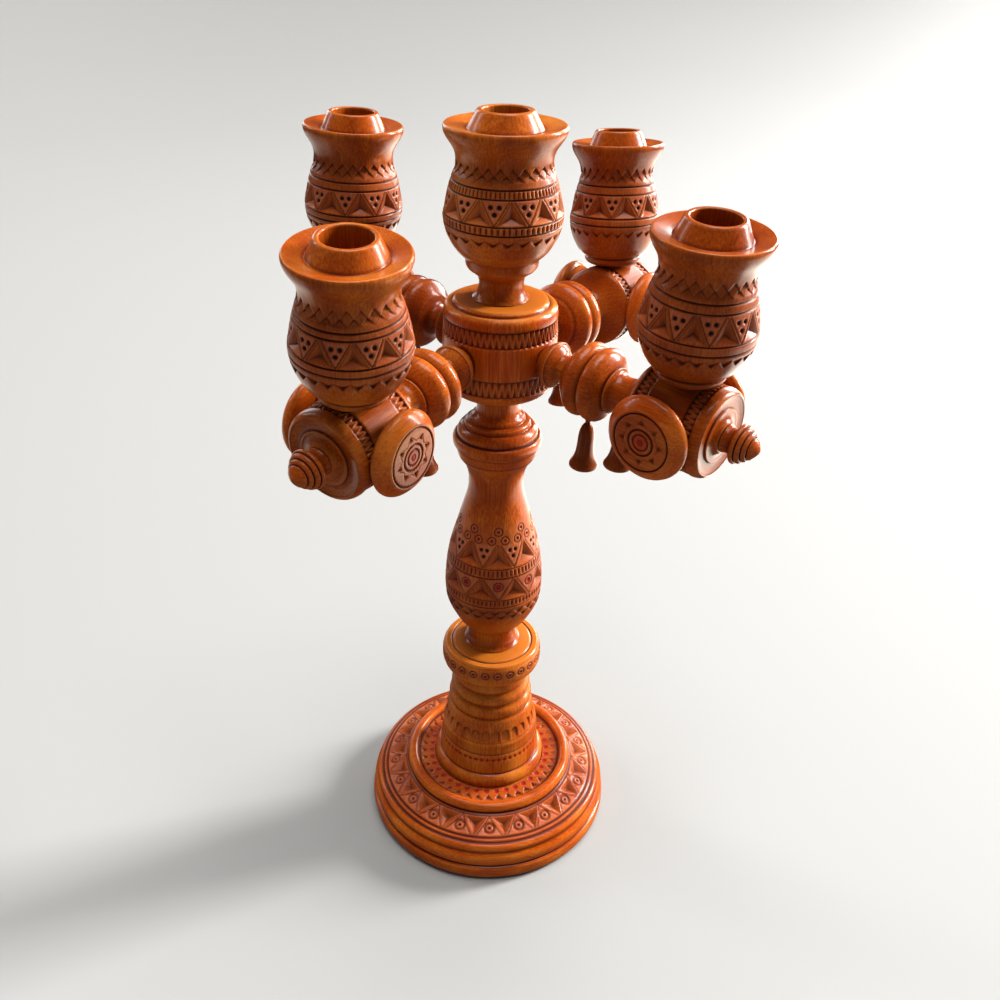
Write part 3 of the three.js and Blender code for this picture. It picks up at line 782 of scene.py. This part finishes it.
CUPS = {
    "front_left": dict(wood=0.04, n=11, phase=43.0, tone=-0.10, z=(79.2, 75.4, 72.5, 69.7, 66.6, 65.6, 54.7, 54.0, 50.1, 46.9, 43.8)),
    "front_right": dict(wood=-0.06, n=11, phase=-65.8, tone=-0.24, z=(80.2, 76.8, 73.6, 71.1, 66.9, 66.1, 53.3, 52.7, 47.9, 45.3, 42.1)),
    "rear_right": dict(wood=0.0, n=10, phase=-171.3, tone=-0.12, z=(82.3, 78.4, 75.0, 72.5, 68.0, 67.2, 55.4, 54.7, 50.4, 47.2, 44.0)),
    "rear_left": dict(wood=-0.24, n=10, phase=108.3, tone=-0.10, z=(77.6, 74.3, 70.9, 68.2, 63.9, 63.2, 51.3, 50.5, 46.9, 44.5, 41.3)),
}
KEYS = ("scale1", "scale2", "scale3", "g1", "g2", "apex", "base", "g3", "g4", "teeth1", "teeth2")

# ------------------------------------------------------------------ arms
def arm_profile(k):
    discs = [
        (46.6, 8.4), (47.6, 11.4), (48.1, 13.0, 1), (48.7, 13.8), (50.3, 15.6), (52.2, 17.6), (54.0, 19.2), (55.6, 19.95),
        (57.2, 20.05), (58.8, 19.7), (60.1, 18.9), (60.9, 17.6), (61.35, 15.2, 1), (61.8, 17.4), (62.6, 18.6), (63.8, 19.4),
        (65.3, 19.85), (67.2, 19.85), (68.8, 19.3), (70.2, 18.2), (71.4, 16.7), (72.5, 14.7), (73.3, 12.6),
    ]
    return [
        (12.1, 0), (12.1, 7.15), (28.72, 7.15), (28.72, ROOT_R - 0.05, 1), (30.0, 9.2), (32.0, 10.95), (33.6, 12.1), (34.9, 12.7),
        (36.0, 12.75, 1), (36.5, 12.3, 1), (36.7, 11.6, 1), (38.2, 10.5), (39.6, 8.9), (40.6, 7.7), (42.4, 7.2), (45.2, 7.3),
    ] + [(p[0], p[1] * k, *p[2:]) for p in discs] + [
        (73.75, 11.5, 1), (74.15, 12.25, 1), (75.05, 12.35, 1), (75.3, 11.6, 1), (76.0, 10.4), (77.3, 9.7), (79.2, 9.4),
        (82.0, 9.5), (84.6, 10.0), (87.0, 11.0), (89.2, 13.6), (91.0, 17.0), (92.3, 20.0), (93.6, 22.3), (94.4, 23.1, 1),
        (95.6, 23.65), (97.0, 23.75), (100.0, 23.75), (131.0, 23.65), (133.6, 23.4), (135.3, 22.9), (136.5, 22.0),
        (137.1, 21.0, 1), (136.8, 20.5, 1), (136.2, 18.4), (136.0, 15.8), (136.1, 14.4, 1), (136.9, 14.2, 1), (137.1, 13.8, 1),
        (136.9, 12.2), (137.3, 10.2), (138.3, 8.6), (139.2, 7.7, 1), (139.2, 0),
    ]


def arm_grid(k):
    prof = arm_profile(k)
    a0 = Turned(prof, 384)
    w = a0.at(z=95, after=a0.at(z=80))
    zone = [(a0.at(z=96.6, after=w), a0.at(z=103.2, after=w), 0.4), (a0.at(z=124.6, after=w), a0.at(z=131.6, after=w), 0.4)]
    a = Turned(prof, 384, zone, tol=0.02, limit=70000)
    az = lambda z: a.at(z=z, after=w)
    a.zigzag(az(97.2), az(102.6), 48, 3, depth=1.6)
    a.zigzag(az(125.2), az(130.9), 48, 0, depth=1.6)
    a.band(az(97.2), az(102.6), "pink", 0.8)
    a.band(az(125.2), az(130.9), "pink", 0.8)
    a.groove(a.at(r=14.3 * k, after=a.at(z=48)), 1.0, 0.3, 0.7)         # ring on the first disc
    a.groove(a.at(r=18.4, after=a.at(z=90)), 1.3, 0.5, 0.9)          # ring on the drum's inner face
    end = a.at(z=133)
    a.groove(a.at(r=14.45, after=end), 0.8, 0.3, 0.75)               # step on its outer face
    a.groove(a.at(r=20.6, after=end), 0.7, 0.2, 0.5)
    a.groove(a.at(z=36.6), 0.9, 0.25, 0.6)
    a.groove(a.at(z=61.35), 1.4, 0.2, 0.8)
    a.groove(a.at(z=73.75), 0.9, 0.2, 0.8)
    return a


FINIAL = [
    (128.6, 0), (128.6, 4.0), (139.75, 4.0), (139.75, 7.3, 1), (141.4, 6.75), (143.9, 6.6), (144.9, 7.5), (145.5, 9.2), (146.2, 10.1),
    (147.1, 10.35), (147.9, 10.1), (148.5, 9.2, 1), (149.0, 9.35), (149.9, 9.15), (150.6, 8.6), (151.1, 7.6, 1), (151.6, 7.65),
    (152.4, 7.35), (153.0, 6.7), (153.45, 5.75, 1), (153.9, 5.8), (154.8, 5.15), (156.1, 3.5), (157.2, 1.8), (157.65, 0.85), (157.8, 0),
]


def finial_grid():
    f = Turned(FINIAL, 120, tol=0.008, limit=16000, fillet=0.08)
    for z in (148.5, 151.1, 153.45):
        f.groove(f.at(z=z), 0.85, 0.35, 1.0)
    return f


WHEEL = [
    (30.6, 0), (30.6, 3.85), (24.2, 3.85), (24.2, 19.3, 1), (25.2, 21.15), (26.6, 21.8), (28.6, 21.5), (30.5, 20.05),
    (32.3, 18.05), (33.5, 16.3), (33.6, 15.6), (33.6, 0),
]


def wheel_grid(phase):
    w0 = Turned(WHEEL, 216)
    start = w0.at(r=16.2, after=w0.at(z=33.3, after=w0.at(z=30.7)))
    w = Turned(WHEEL, 216, [(start, w0.ds[-1], 0.3)], tol=0.02, limit=36000, most=2.5)
    s = lambda r: w.ds[-1] - r
    w.groove(s(14.9), 1.25, 0.9)
    w.groove(s(6.7), 1.5, 0.85, 0.95)
    w.groove(s(4.1), 1.3, 0.7, 0.9)
    w.groove(s(1.35), 0.7, 0.4, 0.5)
    w.band(s(14.4), s(0), "pink", 0.35, 0.8)
    w.band(s(14.4), s(0), "line", 0.10, 0.8)
    w.mark("red", np.clip((2.3 - w.r) / 0.6, 0, 1) + 0 * w.th)
    w.mark("red", 0.35 * np.clip((5.0 - w.r) / 0.8, 0, 1) + 0 * w.th)
    # eight chips round the rings, tips outwards, and the fine cuts that run between them
    x = w.turn(8, phase) * PI2 / 8
    px, py = w.r * np.sin(x), w.r * np.cos(x)
    tip, foot, half = 12.3, 8.9, 1.75
    v = (tip - py) / (tip - foot)
    side = half * v - np.abs(px)
    face = np.clip(side / (half * 0.5), 0, 1) * np.clip((1 - v) / 0.25, 0, 1) * (v < 1) * (v > 0)
    w.cut(1.15 * face)
    # painted shade: the line marks darken the chips' faces and edges
    w.mark("line", 0.62 * np.clip(face * 1.4, 0, 1))
    w.mark("line", 0.9 * np.clip(1 - np.abs(side) / 0.3, 0, 1) * (v < 1) * (v > 0))
    y = w.turn(8, phase + 22.5) * PI2 / 8
    qx, qy = w.r * np.sin(y), w.r * np.cos(y)
    run = np.clip(1 - np.abs(qy - 8.7 - 0.55 * np.abs(qx)) / 0.34, 0, 1) * (w.r > 7.9) * (w.r < 12.2)
    w.cut(0.35 * run)
    # painted shade in the fine cuts
    w.mark("line", 0.5 * run)
    return w


BELL = [
    (-26.2, 0), (-26.2, 5.0), (-27.2, 7.0, 1), (-27.4, 7.5), (-26.9, 7.95), (-26.0, 7.9), (-24.3, 7.1), (-22.2, 6.1), (-20.0, 5.4),
    (-16.0, 4.8), (-12.0, 4.55), (-8.0, 4.35), (-4.6, 3.8), (-2.3, 2.95), (-0.9, 2.05), (-0.1, 1.45, 1),
]


def bell_grid(peg):
    return Turned(BELL + [(peg, 1.4, 1), (peg, 0)], 72, tol=0.012, limit=9000)


for i, (name, a) in enumerate(ARMS.items()):
    body = name + "_arm_body"
    m = arm_frame(a)
    rolled = m @ shift(x=AXLE_X) @ rot("x", a["roll"])
    spec = CUPS[name]
    z = dict(zip(KEYS, spec["z"]), foot=28.0)
    c = cup_grid(arm_cup(a["cup"]), 396, 0.42, 0.27, z, 84000)
    carve_cup(c, z, spec["n"], 24, 26, spec["phase"], dots=(1.98, 1.26), scale_phase=spec["phase"] + (-4.9, 7.7, 8, 12)[i],
              teeth_phase=spec["phase"] + 3 + 5 * i, strip=1.05)
    finish(mesh_piece(name + "_cup_v", c, m @ shift(x=CUP_X), (20 * i, 31 - 17 * i, 60 * i), spec["tone"]),
           name + "_cup", body, "cup_wood")
    finish(mesh_piece(name + "_arm_v", arm_grid(a["discs"]), m @ ALONG_X, (13 * i, 40 - 9 * i, 33 * i), spec["wood"]),
           name + "_arm", body, "arm_wood")
    finish(mesh_piece(name + "_finial_v", finial_grid(), m @ ALONG_X,
                      (9 * i, 4, 21 * i), spec["wood"] - 0.03), name + "_finial", body, "arm_wood")
    for side, word in ((1, "left"), (-1, "right")):
        w = wheel_grid(11 * i + 7 * side)
        finish(mesh_piece(f"{name}_wheel_{word}_v", w, rolled @ ALONG_Y[side], (17 * i, 6 * side, 12 * i), 0.02 * side, "x"),
               f"{name}_wheel_{word}", body, "wheel_wood")
    axle = Turned([(-30, 0), (-30, 3.4, 1), (-29.7, 3.6), (29.7, 3.6), (30, 3.4, 1), (30, 0)], 48, tol=0.02, fillet=0.1)
    finish(mesh_piece(name + "_axle_v", axle, rolled @ ALONG_Y[1], (2 * i, 3, 5)), name + "_axle", body, "dowel_wood")
    for word, bell in (("inner", BELL_IN), ("outer", BELL_OUT)):
        g = bell_grid(bell["peg"] - bell["top"])
        finish(mesh_piece(f"{name}_bell_{word}_v", g, m @ shift(x=bell["x"], z=bell["top"]), (5 * i, 7, 11 * i), -0.03),
               f"{name}_bell_{word}", body, "bell_wood")

# ------------------------------------------------------------------ camera, light, floor
scene = bpy.context.scene
pitch, turn_z, roll = math.radians(31.47), math.radians(-7.4), math.radians(1.71)
cz, sz = math.cos(turn_z), math.sin(turn_z)
spin = lambda v: np.array([cz * v[0] - sz * v[1], sz * v[0] + cz * v[1], v[2]])
fwd = spin((0, math.cos(pitch), -math.sin(pitch)))
right = spin((1, 0, 0))
up = spin((0, math.sin(pitch), math.cos(pitch)))
cr, sr_ = math.cos(roll), math.sin(roll)
r2, u2 = cr * right + sr_ * up, cr * up - sr_ * right
cam = bpy.data.objects.new("camera", bpy.data.cameras.new("camera"))
cam.data.lens, cam.data.sensor_width = 36.0, 36.0
cam.data.clip_start, cam.data.clip_end = 0.01, 100.0
cam.matrix_world = Matrix([[r2[i], u2[i], -fwd[i], p] for i, p in enumerate((-0.0639, -0.5129, 0.5620))] + [[0, 0, 0, 1]])
scene.collection.objects.link(cam)
scene.camera = cam

me = bpy.data.meshes.new("floor")            # flat under the object, rising gently far behind it
rings, spokes = [0.0, 0.6, 1.2, 1.8, 2.4, 3.0, 3.6, 4.2, 5.0, 6.0, 8.0, 11.0, 14.0], 64
rise = lambda q: 0.0 if q < 2.4 else 0.17 * (q - 2.4) ** 1.7
verts = [(0, 0, 0)] + [(q * math.cos(PI2 * k / spokes), q * math.sin(PI2 * k / spokes), rise(q)) for q in rings[1:] for k in range(spokes)]
faces = [(0, 1 + k, 1 + (k + 1) % spokes) for k in range(spokes)]
for i in range(len(rings) - 2):
    for k in range(spokes):
        p0, p1 = 1 + i * spokes + k, 1 + i * spokes + (k + 1) % spokes
        faces.append((p0, p0 + spokes, p1 + spokes, p1))
me.from_pydata(verts, [], faces)
me.polygons.foreach_set("use_smooth", np.ones(len(me.polygons), bool))
floor = bpy.data.objects.new("floor", me)
scene.collection.objects.link(floor)
pale = bpy.data.materials.new("pale_floor")
pale.use_nodes = True
pale.node_tree.nodes["Principled BSDF"].inputs["Base Color"].default_value = (0.26, 0.26, 0.257, 1)
pale.node_tree.nodes["Principled BSDF"].inputs["Roughness"].default_value = 0.8
pale.node_tree.nodes["Principled BSDF"].inputs["Specular IOR Level"].default_value = 0.1
me.materials.append(pale)
floor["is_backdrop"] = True
floor.visible_glossy = False                  # the varnish mirrors the dim studio below, not the floor


def softbox(name, azimuth, elevation, far, width, height, watts, colour=(1, 1, 1)):
    light = bpy.data.lights.new(name, "AREA")
    light.shape, light.size, light.size_y = "RECTANGLE", width, height
    light.energy, light.color = watts, colour
    ob = bpy.data.objects.new(name, light)
    az, el = math.radians(azimuth), math.radians(elevation)
    d = np.array([math.cos(el) * math.cos(az), math.cos(el) * math.sin(az), math.sin(el)])
    at = np.array([0, 0, 0.25]) + d * far
    zed = d
    xed = np.cross((0, 0, 1), zed)
    xed /= np.linalg.norm(xed)
    yed = np.cross(zed, xed)
    ob.matrix_world = Matrix([[xed[i], yed[i], zed[i], at[i]] for i in range(3)] + [[0, 0, 0, 1]])
    scene.collection.objects.link(ob)
    return ob


softbox("window", FRONT + 112, 22, 4.0, 0.7, 2.1, 560, (1.0, 0.985, 0.96))
softbox("left_strip", FRONT - 116, 28, 4.0, 0.5, 2.0, 40, (1.0, 0.99, 0.98))
softbox("overhead", FRONT + 120, 84, 6.0, 4.2, 4.2, 720, (1.0, 0.99, 0.97))
# these two only shine in the varnish, along the edges of the turned pieces
softbox("back_right", FRONT + 146, 12, 4.5, 1.6, 2.4, 330, (1.0, 0.985, 0.96)).visible_diffuse = False
softbox("back_left", FRONT - 150, 14, 4.5, 1.6, 2.4, 60, (1.0, 0.99, 0.97)).visible_diffuse = False


def card(name, azimuth, far, width, height, watts):
    """A pale card lying beside the object: it shows only as a soft shine in the varnish."""
    light = bpy.data.lights.new(name, "AREA")
    light.shape, light.size, light.size_y, light.energy = "RECTANGLE", width, height, watts
    light.color = (1.0, 0.95, 0.82)
    ob = bpy.data.objects.new(name, light)
    az = math.radians(azimuth)
    ca, sa = math.cos(az), math.sin(az)
    ob.matrix_world = Matrix([[ca, sa, 0, ca * far], [sa, -ca, 0, sa * far], [0, 0, -1, 0.004], [0, 0, 0, 1]])
    scene.collection.objects.link(ob)
    ob.visible_camera = ob.visible_diffuse = False


card("card_right", FRONT + 122, 0.95, 1.2, 1.5, 36)
card("card_left", FRONT - 128, 0.95, 1.2, 1.2, 6)

world = bpy.data.worlds.new("studio")
scene.world = world
world.use_nodes = True
world.node_tree.nodes["Background"].inputs["Color"].default_value = (1, 1, 1, 1)
world.node_tree.nodes["Background"].inputs["Strength"].default_value = 0.085
scene.view_settings.view_transform = "Standard"
scene.view_settings.look = "None"

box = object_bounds()
plain = lambda b: [[float(x) for x in corner] for corner in b]
{"cad": plain(CAD_BOX), "visual": plain(box)}
